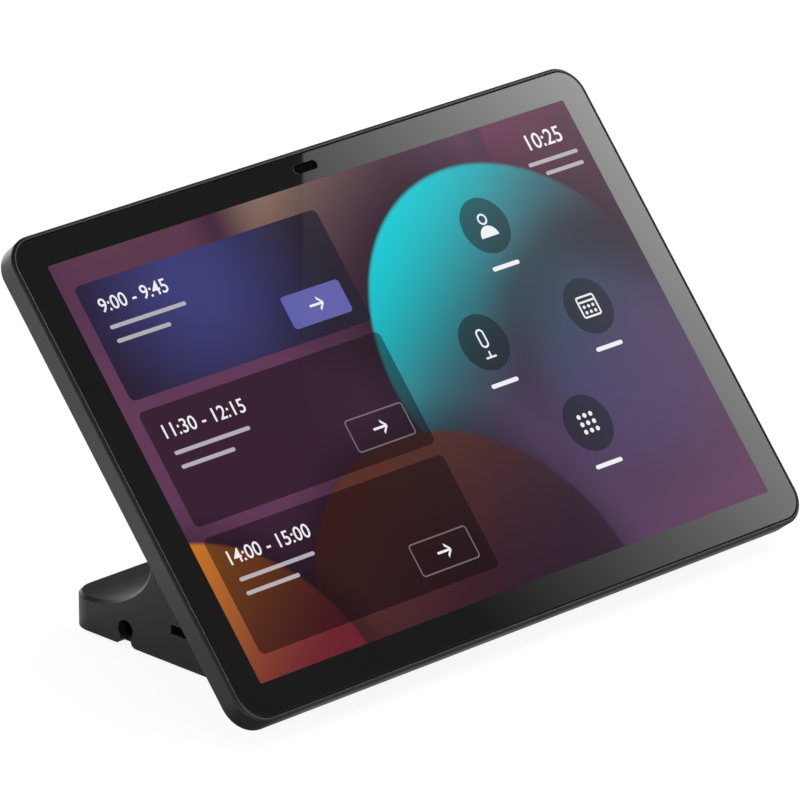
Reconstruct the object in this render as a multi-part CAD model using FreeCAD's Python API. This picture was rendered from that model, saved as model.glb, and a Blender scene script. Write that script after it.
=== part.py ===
import FreeCAD, Part
import math
import os

# Tabletop touch console: a thin display panel leaning back on a hollow moulded stand.
# Millimetres. X runs across the panel, Y to the back, Z up. The origin lies on the desk
# under the middle of the console.

# Panel outline and posture
PANEL_WIDTH = 189.0
PANEL_HEIGHT = 126.4
PANEL_CORNER = 7.6
PANEL_TAPER = 0.3
PANEL_TILT = 50.0
PANEL_LIFT = 2.8
LIP_WIDTH = 1.0
LIP_CHAMFER = 0.6
BACK_CHAMFER = 0.2

# Layers of the panel, front to back
GLASS_THICK = 1.1
GLASS_CHAMFER = 0.15
GLASS_GAP = 0.2
ADHESIVE_THICK = 0.25
ADHESIVE_WIDTH = 2.4
ADHESIVE_INSET = 0.6
FILM_THICK = 0.25
FILM_MARGIN = 1.9
CELL_THICK = 1.0
CELL_MARGIN = 1.8
LIGHT_THICK = 1.5
LIGHT_MARGIN = 2.4
PLATE_THICK = 0.5
PLATE_LEDGE = 1.2
PLATE_GAP = 0.35
HOUSING_BACK = 1.3
HOUSING_SIDE = 1.6
BEZEL_SIDE = 9.0
BEZEL_END = 8.8
PLATE_CORNER = 2.0
FIT = 0.15

# Presence sensor behind the pill-shaped hole in the glass
SENSOR_DROP = 4.75
PILL_LENGTH = 7.6
PILL_HEIGHT = 2.3
LENS_CLEAR = 0.1
LENS_SINK = 0.5
LENS_FLANGE = 0.8
LENS_FLANGE_THICK = 0.25
SENSOR_LENGTH = 4.9
SENSOR_WIDTH = 2.5
SENSOR_TALL = 1.3
SENSOR_RIM = 0.3
SENSOR_WINDOW_SINK = 0.15
SENSOR_BOARD_LENGTH = 13.0
SENSOR_BOARD_WIDTH = 3.2
SENSOR_BOARD_THICK = 0.6

# Stand
STAND_WIDTH = 141.6
STAND_DEPTH = 73.0
STAND_REACH = 82.3
STAND_WALL = 2.2
STAND_CORNER = 7.0
EDGE_CHAMFER = 0.8
FOOT_HEIGHT = 8.5
SCOOP_START = 5.8
SCOOP_WIDE_RADIUS = 30.0
SCOOP_WIDE_TURN = 38.3
SCOOP_TIGHT_RADIUS = 11.7
NECK_TURN = 118.0
NECK_DROP = 27.2
NECK_ROUND = 6.0

# Cable outlet and lock slot in the left wall of the stand
OUTLET_FROM_REAR = 20.3
OUTLET_HEIGHT = 4.0
OUTLET_RADIUS = 2.5
THROAT_WIDTH = 3.6
THROAT_FLARE = 1.5
LOCK_FROM_REAR = 35.9
LOCK_HEIGHT = 8.75
LOCK_LENGTH = 6.6
LOCK_WIDTH = 2.3
LOCK_PLATE_THICK = 1.2
LOCK_PLATE_MARGIN = 4.0

# Screws that hold the stand to the housing, and their bosses
BOSS_RADIUS = 3.2
BOSS_LENGTH = 10.0
BOSS_WEB = 1.6
BOSS_FROM_WALL = 6.0
BOSS_PLACES = (-28.0, 20.0)
SCREW_RADIUS = 1.25
SCREW_CLEAR = 0.1
SCREW_LENGTH = 8.0
SCREW_HEAD_RADIUS = 2.6
SCREW_HEAD_THICK = 0.7

# Base cover, its stops and snap tongues, and the rubber feet
COVER_THICK = 1.8
COVER_GAP = 0.3
STOP_LENGTH = 8.0
STOP_REACH = 1.8
STOP_HEIGHT = 1.6
STOPS_FROM_REAR = (6.0, 54.0)
TONGUE_WIDTH = 8.0
TONGUE_THICK = 1.2
TONGUE_HEIGHT = 3.6
TONGUE_PLACE = 40.0
GROOVE_LENGTH = 12.0
FOOT_PROUD = 0.8
FOOT_SINK = 0.8
FOOT_LENGTH = 20.0
FOOT_WIDTH = 7.0
FOOT_INSET_SIDE = 14.0
FOOT_INSET_REAR = 9.0
FOOT_INSET_FRONT = 11.0

# Main board and what it carries
BOARD_WIDTH = 106.0
BOARD_HEIGHT = 42.0
BOARD_THICK = 1.6
BOARD_INSET = 2.0
WINDOW_MARGIN = 3.0
WINDOW_CORNER = 4.0
SPACER_HEIGHT = 2.0
SPACER_RADIUS = 3.0
SPACER_INSET = 5.0
BOARD_SCREW_RADIUS = 1.2
BOARD_SCREW_HEAD = 2.3
BOARD_SCREW_HEAD_TALL = 1.5
SHIELD_SIZE = (34.0, 28.0, 2.4)
SHIELD_WALL = 0.3
SHIELD_GAP = 3.0
JACK_SIZE = (16.0, 18.0, 13.4)
JACK_PLACE = 8.0
JACK_PROUD = 2.0
SOCKET_WIDTH = 11.9
SOCKET_TALL = 6.8
SOCKET_DEPTH = 13.5
LATCH_WIDTH = 6.5
LATCH_TALL = 1.7
LATCH_SLOT_WIDTH = 3.4
JACK_ROOF = 1.4
CONTACT_PITCH = 1.02
CONTACT_WIDTH = 0.4
CONTACT_THICK = 0.2
CONTACT_REACH = 6.75
CONTACT_COUNT = 8
CONTACT_RISE = 1.6
USB_SIZE = (8.9, 7.3, 3.2)
USB_WALL = 0.3
USB_FROM_END = 25.0
USB_PROUD = 1.2
TONGUE_SIZE = (6.7, 4.5, 0.7)
SWITCH_SIZE = (5.0, 4.0, 3.2)
SWITCH_FROM_END = 14.0
BUTTON_RADIUS = 0.9
BUTTON_PROUD = 1.2
BUTTON_TRAVEL = 0.4
BUTTON_CLEAR = 0.1
COIL_SIZE = (13.0, 11.0, 8.5)
COIL_FROM_END = 24.0
COIL_FROM_TOP = 17.8
COIL_LEG = 2.4
CAN_RADIUS = 3.0
CAN_TALL = 7.5
CAN_BASE = 1.2
CAN_RIM = 0.15
CAN_FROM_END = 10.0
CAN_FROM_TOP = 13.8
CAN_PITCH = 9.0
CAN_COUNT = 2

# Flat flexible circuits and their sockets
FLEX_THICK = 0.12
FLEX_BEND = 0.5
FLEX_ROOM = 0.75
DISPLAY_FLEX_WIDTH = 22.0
TOUCH_FLEX_WIDTH = 8.0
SENSOR_FLEX_WIDTH = 4.0
FLEX_FROM_END = 10.0
FLEX_GAP = 5.0
SOCKET_BLOCK = 5.0
SOCKET_BLOCK_TALL = 1.1
SOCKET_SIDE = 1.0
SOCKET_FROM_EDGE = 1.2
SOCKET_CHAMFER = 0.15

# Cutters reach this far past the faces that they open
PAST = 1.0

# Straight left between two round corners that make a round end, and the distance that counts as nothing
STRAIGHT_LEFT = 0.002
NEAR = 0.001

Vec = FreeCAD.Vector
TILT = math.radians(PANEL_TILT)

# Levels of the layers, measured back from the front of the glass
z_glass = -GLASS_THICK
z_carrier = z_glass - ADHESIVE_THICK
z_film = z_glass - FILM_THICK
z_cell = z_film - CELL_THICK
z_light = z_cell - LIGHT_THICK
z_plate = z_light - PLATE_THICK
z_floor = z_plate - PLATE_GAP
z_back = z_floor - HOUSING_BACK
z_board = z_plate - SPACER_HEIGHT
z_board_back = z_board - BOARD_THICK
panel_depth = -z_back

# Outlines of the layers
display_width = PANEL_WIDTH - 2 * BEZEL_SIDE
display_height = PANEL_HEIGHT - 2 * BEZEL_END
glass_width = PANEL_WIDTH - 2 * (LIP_WIDTH + GLASS_GAP)
glass_height = PANEL_HEIGHT - 2 * (LIP_WIDTH + GLASS_GAP)
glass_corner = PANEL_CORNER - LIP_WIDTH - GLASS_GAP
cavity_width = PANEL_WIDTH - 2 * HOUSING_SIDE
cavity_height = PANEL_HEIGHT - 2 * HOUSING_SIDE
cavity_corner = PANEL_CORNER - HOUSING_SIDE
opening_width = display_width + 2 * (LIGHT_MARGIN + FIT)
opening_height = display_height + 2 * (LIGHT_MARGIN + FIT)
plate_width = opening_width + 2 * PLATE_LEDGE
plate_height = opening_height + 2 * PLATE_LEDGE
sensor_v = PANEL_HEIGHT / 2 - SENSOR_DROP
flex_wrap = display_height / 2 + LIGHT_MARGIN + FLEX_ROOM

# Place of the panel's middle and of the stand's rear face
low_edge = PANEL_HEIGHT / 2 - PANEL_TAPER
panel_z = PANEL_LIFT + low_edge * math.sin(TILT) + panel_depth * math.cos(TILT)
lip_loss = LIP_CHAMFER * min(math.cos(TILT), math.sin(TILT))
front_reach = PANEL_HEIGHT / 2 * math.cos(TILT) - lip_loss
rear_reach = STAND_REACH - low_edge * math.cos(TILT) + panel_depth * math.sin(TILT)
panel_y = (front_reach - rear_reach) / 2
rear_y = panel_y + rear_reach
front_y = rear_y - STAND_DEPTH
rim_z = FOOT_PROUD
cover_top = rim_z + COVER_THICK
neck_v = PANEL_HEIGHT / 2 - NECK_DROP
panel_place = FreeCAD.Placement(Vec(0, panel_y, panel_z), FreeCAD.Rotation(Vec(1, 0, 0), PANEL_TILT))


def along_panel(y, depth):
    """Height up the panel of the point at y on the plane that lies depth behind the glass front."""
    return (y - panel_y - depth * math.sin(TILT)) / math.cos(TILT)


# The window in the housing's back lies inside the stand, and the board inside the window
window_low = along_panel(front_y + STAND_WALL, panel_depth) + WINDOW_MARGIN
window_high = neck_v - STAND_WALL - WINDOW_MARGIN
boss_u = STAND_WIDTH / 2 - STAND_WALL - BOSS_FROM_WALL
window_width = 2 * (boss_u - BOSS_RADIUS - WINDOW_MARGIN)
board_high = window_high - BOARD_INSET
board_low = board_high - BOARD_HEIGHT
board_middle = (board_high + board_low) / 2
board_end = BOARD_WIDTH / 2

# Places on the board: the flat circuits from its left end, the ports and power parts from its right
display_flex_u = -board_end + FLEX_FROM_END + DISPLAY_FLEX_WIDTH / 2
touch_flex_u = display_flex_u + (DISPLAY_FLEX_WIDTH + TOUCH_FLEX_WIDTH) / 2 + FLEX_GAP
sensor_flex_u = (SENSOR_BOARD_LENGTH - SENSOR_FLEX_WIDTH) / 2
low_flexes = ((display_flex_u, DISPLAY_FLEX_WIDTH), (touch_flex_u, TOUCH_FLEX_WIDTH))
shield_u = JACK_PLACE - (JACK_SIZE[0] + SHIELD_SIZE[0]) / 2 - SHIELD_GAP
shield_v = board_low + SOCKET_FROM_EDGE + SOCKET_BLOCK + SHIELD_GAP + SHIELD_SIZE[1] / 2
usb_u = board_end - USB_FROM_END
switch_u = board_end - SWITCH_FROM_END
coil_u = board_end - COIL_FROM_END
coil_v = board_high - COIL_FROM_TOP
can_u = board_end - CAN_FROM_END
can_v = board_high - CAN_FROM_TOP


def on_panel(shape):
    """Turn a piece from the panel's own frame to its leaning place."""
    placed = shape.copy()
    placed.Placement = panel_place.multiply(placed.Placement)
    return placed


def rounded_outline(width, height, corner, z):
    """Closed rectangle with round corners, in the plane at height z."""
    x, y = width / 2, height / 2
    diagonal = corner * (1 - math.sqrt(0.5))
    edges = []
    for sx, sy in ((1, 1), (-1, 1), (-1, -1), (1, -1)):
        on_side = Vec(sx * x, sy * (y - corner), z)
        on_end = Vec(sx * (x - corner), sy * y, z)
        middle = Vec(sx * (x - diagonal), sy * (y - diagonal), z)
        first, last = (on_side, on_end) if sx * sy > 0 else (on_end, on_side)
        if edges:
            edges.append(Part.LineSegment(edges[-1].Vertexes[-1].Point, first).toShape())
        edges.append(Part.Arc(first, middle, last).toShape())
    edges.append(Part.LineSegment(edges[-1].Vertexes[-1].Point, edges[0].Vertexes[0].Point).toShape())
    return Part.Wire(edges)


def slab(width, height, corner, z_from, z_to, middle=(0.0, 0.0)):
    """Flat plate between two levels, with round corners unless corner is nought."""
    if corner:
        outline = rounded_outline(width, height, corner, z_from)
    else:
        x, y = width / 2, height / 2
        points = [Vec(-x, -y, z_from), Vec(x, -y, z_from), Vec(x, y, z_from), Vec(-x, y, z_from)]
        outline = Part.makePolygon(points + points[:1])
    plate = Part.Face(outline).extrude(Vec(0, 0, z_to - z_from))
    plate.translate(Vec(middle[0], middle[1], 0))
    return plate


def block(low, high):
    """Plain box between two corners."""
    size = [b - a for a, b in zip(low, high)]
    return Part.makeBox(size[0], size[1], size[2], Vec(*low))


def ring(outer, inner):
    return outer.cut(inner)


def pill(length, height, z_from, z_to, v):
    """Slot-shaped plate with fully round ends."""
    return slab(length, height, (height - STRAIGHT_LEFT) / 2, z_from, z_to, (0.0, v))


def edges_at(shape, z):
    """Edges that lie whole in the plane at height z."""
    return [e for e in shape.Edges if all(abs(v.Point.z - z) < NEAR for v in e.Vertexes)
            and abs(e.valueAt((e.FirstParameter + e.LastParameter) / 2).z - z) < NEAR]


def rod(radius, z_from, z_to, u, v):
    return Part.makeCylinder(radius, z_to - z_from, Vec(u, v, z_from))


# Front of the panel

def cover_glass():
    glass = slab(glass_width, glass_height, glass_corner, z_glass, 0.0)
    glass = glass.makeChamfer(GLASS_CHAMFER, edges_at(glass, 0.0))
    return glass.cut(pill(PILL_LENGTH, PILL_HEIGHT, z_glass - PAST, PAST, sensor_v))


def lens_flange_room(clear):
    length = PILL_LENGTH + 2 * (LENS_FLANGE + clear)
    height = PILL_HEIGHT + 2 * (LENS_FLANGE + clear)
    return pill(length, height, z_glass - LENS_FLANGE_THICK - clear, z_glass, sensor_v)


def sensor_lens():
    length = PILL_LENGTH - 2 * LENS_CLEAR
    height = PILL_HEIGHT - 2 * LENS_CLEAR
    plug = pill(length, height, z_glass, -LENS_SINK, sensor_v)
    return plug.fuse(lens_flange_room(0.0)).removeSplitter()


def glass_adhesive():
    inset = 2 * ADHESIVE_INSET
    wide = glass_width - inset
    high = glass_height - inset
    corner = glass_corner - ADHESIVE_INSET
    outer = slab(wide, high, corner, z_carrier, z_glass)
    inner = slab(wide - 2 * ADHESIVE_WIDTH, high - 2 * ADHESIVE_WIDTH, corner - ADHESIVE_WIDTH,
                 z_carrier - PAST, z_glass + PAST)
    return ring(outer, inner).cut(lens_flange_room(FIT))


def display_layer(margin, z_from, z_to):
    return slab(display_width + 2 * margin, display_height + 2 * margin, 0.0, z_from, z_to)


def touch_sensor():
    return display_layer(FILM_MARGIN, z_film, z_glass)


def lcd_cell():
    return display_layer(CELL_MARGIN, z_cell, z_film)


def backlight_unit():
    return display_layer(LIGHT_MARGIN, z_light, z_cell)


def bottom_flex_notches():
    """Gaps below the display where its flat circuits turn to the back."""
    cuts = []
    for middle, width in low_flexes:
        half = width / 2 + FLEX_BEND
        cuts.append(block((middle - half, -flex_wrap - FLEX_BEND, z_plate - PAST),
                          (middle + half, -opening_height / 2 + PAST, PAST)))
    return cuts


def sensor_tab(clear, z_from, z_to):
    """Outline of the plate's tab that carries the sensor board."""
    half = SENSOR_BOARD_LENGTH / 2 + PLATE_LEDGE + clear
    top = sensor_v + SENSOR_BOARD_WIDTH / 2 + clear
    return block((-half, opening_height / 2 - PAST, z_from), (half, top, z_to))


def sensor_bay(z_from, z_to):
    half = SENSOR_BOARD_LENGTH / 2 + FIT
    return block((-half, opening_height / 2 - PAST, z_from),
                 (half, sensor_v + SENSOR_BOARD_WIDTH / 2 + FIT, z_to))


def carrier_frame():
    outer = slab(cavity_width - 2 * FIT, cavity_height - 2 * FIT, cavity_corner - FIT, z_plate, z_carrier)
    opening = slab(opening_width, opening_height, 0.0, z_plate - PAST, PAST)
    seat = slab(plate_width + 2 * FIT, plate_height + 2 * FIT, PLATE_CORNER + FIT, z_plate - PAST, z_light)
    frame = ring(outer, opening).cut(seat)
    frame = frame.cut(sensor_tab(FIT, z_plate - PAST, z_light)).cut(sensor_bay(z_light - PAST, PAST))
    for notch in bottom_flex_notches():
        frame = frame.cut(notch)
    return frame.cut(lens_flange_room(FIT)).removeSplitter()


def spacer_places():
    half = board_end - SPACER_INSET
    reach = BOARD_HEIGHT / 2 - SPACER_INSET
    return [(sx * half, board_middle + sy * reach) for sx in (-1, 1) for sy in (-1, 1)]


def six_sided(radius, z_from, z_to, u, v):
    """Hexagonal bar, radius to its corners."""
    angles = [i * math.pi / 3 for i in range(7)]
    points = [Vec(u + radius * math.cos(a), v + radius * math.sin(a), z_from) for a in angles]
    return Part.Face(Part.makePolygon(points)).extrude(Vec(0, 0, z_to - z_from))


def mid_plate():
    plate = slab(plate_width, plate_height, PLATE_CORNER, z_plate, z_light)
    plate = plate.fuse(sensor_tab(0.0, z_plate, z_light))
    for u, v in spacer_places():
        plate = plate.fuse(six_sided(SPACER_RADIUS, z_board, z_plate, u, v))
    for u, v in spacer_places():
        plate = plate.cut(rod(BOARD_SCREW_RADIUS + SCREW_CLEAR, z_board - PAST, z_light + PAST, u, v))
    for notch in bottom_flex_notches():
        plate = plate.cut(notch)
    half = SENSOR_FLEX_WIDTH / 2 + FLEX_BEND
    slot_v = sensor_v - SENSOR_BOARD_WIDTH / 2 + FLEX_BEND
    slot = block((sensor_flex_u - half, slot_v - 2 * FLEX_BEND, z_plate - PAST),
                 (sensor_flex_u + half, slot_v + FLEX_BEND, z_light + PAST))
    return plate.cut(slot).removeSplitter()


def sensor_board():
    return slab(SENSOR_BOARD_LENGTH, SENSOR_BOARD_WIDTH - 2 * FIT, 0.0, z_light,
                z_light + SENSOR_BOARD_THICK, (0.0, sensor_v))


def presence_sensor():
    base = z_light + SENSOR_BOARD_THICK
    can = slab(SENSOR_LENGTH, SENSOR_WIDTH, 0.0, base, base + SENSOR_TALL, (0.0, sensor_v))
    window = slab(SENSOR_LENGTH - 2 * SENSOR_RIM, SENSOR_WIDTH - 2 * SENSOR_RIM, 0.0,
                  base + SENSOR_TALL - SENSOR_WINDOW_SINK, base + SENSOR_TALL + PAST, (0.0, sensor_v))
    return can.cut(window)


# Housing behind the display

def stand_screw_places():
    return [(side * boss_u, v) for side in (-1, 1) for v in BOSS_PLACES]


def housing_outer():
    front = rounded_outline(PANEL_WIDTH, PANEL_HEIGHT, PANEL_CORNER, 0.0)
    back = rounded_outline(PANEL_WIDTH - 2 * PANEL_TAPER, PANEL_HEIGHT - 2 * PANEL_TAPER,
                           PANEL_CORNER - PANEL_TAPER, z_back)
    body = Part.makeLoft([back, front], True, True)
    body = body.makeChamfer(LIP_CHAMFER, edges_at(body, 0.0))
    return body.makeChamfer(BACK_CHAMFER, edges_at(body, z_back))


def rear_housing():
    gap = 2 * GLASS_GAP
    seat = slab(glass_width + gap, glass_height + gap, glass_corner + GLASS_GAP, z_carrier, PAST)
    cavity = slab(cavity_width, cavity_height, cavity_corner, z_floor, PAST)
    window_height = window_high - window_low
    window = slab(window_width, window_height, WINDOW_CORNER, z_back - PAST, z_floor + PAST,
                  (0.0, (window_high + window_low) / 2))
    body = housing_outer().cut(seat).cut(cavity).cut(window)
    for u, v in stand_screw_places():
        hole = rod(SCREW_RADIUS + SCREW_CLEAR, z_back - PAST, z_floor + PAST, u, v)
        head = rod(SCREW_HEAD_RADIUS + FIT, z_floor - SCREW_HEAD_THICK, z_floor + PAST, u, v)
        body = body.cut(hole).cut(head)
    return body


def stand_screws():
    screws = []
    for u, v in stand_screw_places():
        z_head = z_floor - SCREW_HEAD_THICK
        head = rod(SCREW_HEAD_RADIUS, z_head, z_floor, u, v)
        shank = rod(SCREW_RADIUS, z_head - SCREW_LENGTH, z_head, u, v)
        screws.append(head.fuse(shank).removeSplitter())
    return Part.makeCompound(screws)


# Main board, seen from the stand's side

def main_board():
    board = slab(BOARD_WIDTH, BOARD_HEIGHT, 0.0, z_board_back, z_board, (0.0, board_middle))
    for u, v in spacer_places():
        board = board.cut(rod(BOARD_SCREW_RADIUS + SCREW_CLEAR, z_board_back - PAST, z_board + PAST, u, v))
    return board


def board_screws():
    screws = []
    for u, v in spacer_places():
        head = six_sided(BOARD_SCREW_HEAD, z_board_back - BOARD_SCREW_HEAD_TALL, z_board_back, u, v)
        shank = rod(BOARD_SCREW_RADIUS, z_board_back, z_plate, u, v)
        screws.append(head.fuse(shank).removeSplitter())
    return Part.makeCompound(screws)


def on_board(size, u, v, corner=0.0):
    """Block of width, height along the board and thickness, on the board's back face."""
    return slab(size[0], size[1], corner, z_board_back - size[2], z_board_back, (u, v))


def processor_shield():
    width, height, tall = SHIELD_SIZE
    can = on_board(SHIELD_SIZE, shield_u, shield_v)
    can = can.makeChamfer(SHIELD_WALL, edges_at(can, z_board_back - tall))
    hollow = slab(width - 2 * SHIELD_WALL, height - 2 * SHIELD_WALL, 0.0, z_board_back - tall + SHIELD_WALL,
                  z_board_back + PAST, (shield_u, shield_v))
    return can.cut(hollow)


def jack_mouth():
    return board_low - JACK_PROUD


def jack_socket_top():
    """Level of the socket's wall that is nearest to the board."""
    return z_board_back - JACK_ROOF - 2 * LATCH_TALL


def ethernet_jack():
    width, depth, tall = JACK_SIZE
    mouth = jack_mouth()
    body = on_board(JACK_SIZE, JACK_PLACE, mouth + depth / 2)
    top = jack_socket_top()
    inner = mouth + SOCKET_DEPTH
    widths = ((SOCKET_WIDTH, top - SOCKET_TALL, top), (LATCH_WIDTH, top - PAST, top + LATCH_TALL),
              (LATCH_SLOT_WIDTH, top, top + 2 * LATCH_TALL))
    for across, z_from, z_to in widths:
        body = body.cut(block((JACK_PLACE - across / 2, mouth - PAST, z_from),
                              (JACK_PLACE + across / 2, inner, z_to)))
    return body.removeSplitter()


def jack_contacts():
    """Spring wires that slope from the socket's far wall towards its mouth."""
    low = jack_socket_top() - SOCKET_TALL
    inner = jack_mouth() + SOCKET_DEPTH
    tip = inner - CONTACT_REACH
    outline = [(inner, low), (inner, low + CONTACT_THICK), ((inner + tip) / 2, low + CONTACT_RISE),
               (tip, low + CONTACT_THICK), (tip, low)]
    wires = []
    for index in range(CONTACT_COUNT):
        u = JACK_PLACE + (index - (CONTACT_COUNT - 1) / 2) * CONTACT_PITCH - CONTACT_WIDTH / 2
        points = [Vec(u, v, z) for v, z in outline]
        face = Part.Face(Part.makePolygon(points + points[:1]))
        wires.append(face.extrude(Vec(CONTACT_WIDTH, 0, 0)))
    return Part.makeCompound(wires)


def flat_tube(width, tall, v_from, v_to, u, z_middle):
    """Bar of slot-shaped section that runs along the board."""
    bar = slab(width, tall, (tall - STRAIGHT_LEFT) / 2, 0.0, v_to - v_from)
    bar.rotate(Vec(0, 0, 0), Vec(1, 0, 0), -90)
    bar.translate(Vec(u, v_from, z_middle))
    return bar


def usb_socket():
    width, depth, tall = USB_SIZE
    mouth = board_low - USB_PROUD
    middle = z_board_back - tall / 2
    shell = flat_tube(width, tall, mouth, mouth + depth, usb_u, middle)
    hollow = flat_tube(width - 2 * USB_WALL, tall - 2 * USB_WALL, mouth - PAST,
                       mouth + depth - USB_WALL, usb_u, middle)
    return shell.cut(hollow)


def usb_tongue():
    width, depth, tall = TONGUE_SIZE
    inner = board_low - USB_PROUD + USB_SIZE[1] - USB_WALL
    middle = z_board_back - USB_SIZE[2] / 2
    return block((usb_u - width / 2, inner - depth, middle - tall / 2),
                 (usb_u + width / 2, inner, middle + tall / 2))


def button_rod(radius, v_from, v_to):
    middle = z_board_back - SWITCH_SIZE[2] / 2
    return Part.makeCylinder(radius, v_to - v_from, Vec(switch_u, v_from, middle), Vec(0, 1, 0))


def reset_switch():
    width, depth, tall = SWITCH_SIZE
    body = on_board(SWITCH_SIZE, switch_u, board_low + depth / 2)
    bore = button_rod(BUTTON_RADIUS + BUTTON_CLEAR, board_low - PAST, board_low + depth / 2)
    return body.cut(bore)


def reset_button():
    inner = board_low + SWITCH_SIZE[1] / 2 - BUTTON_TRAVEL - BUTTON_CLEAR
    return button_rod(BUTTON_RADIUS, board_low - BUTTON_PROUD, inner)


def power_transformer():
    """Ferrite core round a winding: two yokes joined by the wound middle."""
    width, height, tall = COIL_SIZE
    core = on_board(COIL_SIZE, coil_u, coil_v)
    half = width / 2 - COIL_LEG
    room = block((coil_u - half, coil_v - height, z_board_back - tall + COIL_LEG),
                 (coil_u + half, coil_v + height, z_board_back + PAST))
    winding = slab(2 * half, height - COIL_LEG, COIL_LEG, z_board_back - tall + COIL_LEG,
                   z_board_back, (coil_u, coil_v))
    return core.cut(room).fuse(winding).removeSplitter()


def bulk_capacitors():
    cans = []
    side = 2 * (CAN_RADIUS + CAN_RIM)
    for index in range(CAN_COUNT):
        v = can_v - index * CAN_PITCH
        base = on_board((side, side, CAN_BASE), can_u, v)
        can = rod(CAN_RADIUS, z_board_back - CAN_TALL, z_board_back - CAN_BASE, can_u, v)
        cans.append(base.fuse(can).removeSplitter())
    return Part.makeCompound(cans)


# Flat circuits and their sockets

def socket_bounds(from_edge):
    """Front and back of a socket along the board; positive counts from the low edge."""
    if from_edge > 0:
        return board_low + from_edge, board_low + from_edge + SOCKET_BLOCK
    return board_high + from_edge - SOCKET_BLOCK, board_high + from_edge


def flex_sockets():
    blocks = []
    places = [(middle, width, SOCKET_FROM_EDGE) for middle, width in low_flexes]
    places.append((sensor_flex_u, SENSOR_FLEX_WIDTH, -SOCKET_FROM_EDGE))
    for middle, width, from_edge in places:
        low, high = socket_bounds(from_edge)
        size = (width + 2 * SOCKET_SIDE, SOCKET_BLOCK, SOCKET_BLOCK_TALL)
        body = on_board(size, middle, (low + high) / 2)
        blocks.append(body.makeChamfer(SOCKET_CHAMFER, edges_at(body, z_board_back - SOCKET_BLOCK_TALL)))
    return Part.makeCompound(blocks)


def bent_path(points, radius, u):
    """Straight runs joined by tangent arcs, in the plane across the board at u."""
    spots = [Vec(u, v, z) for v, z in points]
    edges = []
    start = spots[0]
    for before, corner, after in zip(spots, spots[1:], spots[2:]):
        to_corner = (corner - before).normalize()
        onward = (after - corner).normalize()
        half_turn = to_corner.getAngle(onward) / 2
        cut = radius * math.tan(half_turn)
        enter = corner - to_corner * cut
        leave = corner + onward * cut
        inward = (onward - to_corner).normalize()
        middle = corner + inward * radius * (1 / math.cos(half_turn) - 1)
        edges.append(Part.LineSegment(start, enter).toShape())
        edges.append(Part.Arc(enter, middle, leave).toShape())
        start = leave
    edges.append(Part.LineSegment(start, spots[-1]).toShape())
    return Part.Wire(edges)


def ribbon(points, width, u):
    """Thin strip of the flex's thickness, carried along a bent path."""
    path = bent_path(points, FLEX_BEND, u)
    first = path.Edges[0]
    start = first.valueAt(first.FirstParameter)
    ahead = first.tangentAt(first.FirstParameter)
    side = Vec(width / 2, 0, 0)
    rise = ahead.cross(Vec(1, 0, 0)).normalize() * (FLEX_THICK / 2)
    corners = [start + side + rise, start - side + rise, start - side - rise, start + side - rise]
    section = Part.makePolygon(corners + corners[:1])
    return path.makePipeShell([section], True, False)


def flex_levels():
    """Level of the run behind the plate, and of the end at the socket."""
    return z_plate - FLEX_THICK / 2, z_board_back - SOCKET_BLOCK_TALL / 2


def bottom_flex(flex, v_start, z_start):
    middle, width = flex
    z_run, z_end = flex_levels()
    turn = board_low - 2 * FLEX_BEND - FLEX_THICK
    v_end = socket_bounds(SOCKET_FROM_EDGE)[0]
    points = [(v_start, z_start), (-flex_wrap, z_start), (-flex_wrap, z_run), (turn, z_run),
              (turn, z_end), (v_end, z_end)]
    return ribbon(points, width, middle)


def display_flex():
    return bottom_flex(low_flexes[0], -display_height / 2 - CELL_MARGIN, (z_cell + z_film) / 2)


def touch_flex():
    return bottom_flex(low_flexes[1], -display_height / 2 - FILM_MARGIN, (z_film + z_glass) / 2)


def sensor_flex():
    z_run, z_end = flex_levels()
    v_start = sensor_v - SENSOR_BOARD_WIDTH / 2 + FLEX_BEND
    turn = board_high + 2 * FLEX_BEND + FLEX_THICK
    v_end = socket_bounds(-SOCKET_FROM_EDGE)[1]
    points = [(v_start, z_light), (v_start, z_run), (turn, z_run), (turn, z_end), (v_end, z_end)]
    return ribbon(points, SENSOR_FLEX_WIDTH, sensor_flex_u)


# Stand

def panel_point(v, depth):
    """Side view place (y, z) of a point v up the panel and depth behind the glass front."""
    y = panel_y + v * math.cos(TILT) + depth * math.sin(TILT)
    z = panel_z + v * math.sin(TILT) - depth * math.cos(TILT)
    return y, z


def scoop_point(centre, radius, turn):
    """Point of a hollow arc where its tangent has turned up from level by turn degrees."""
    angle = math.radians(turn)
    return centre[0] - radius * math.sin(angle), centre[1] - radius * math.cos(angle)


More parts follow.
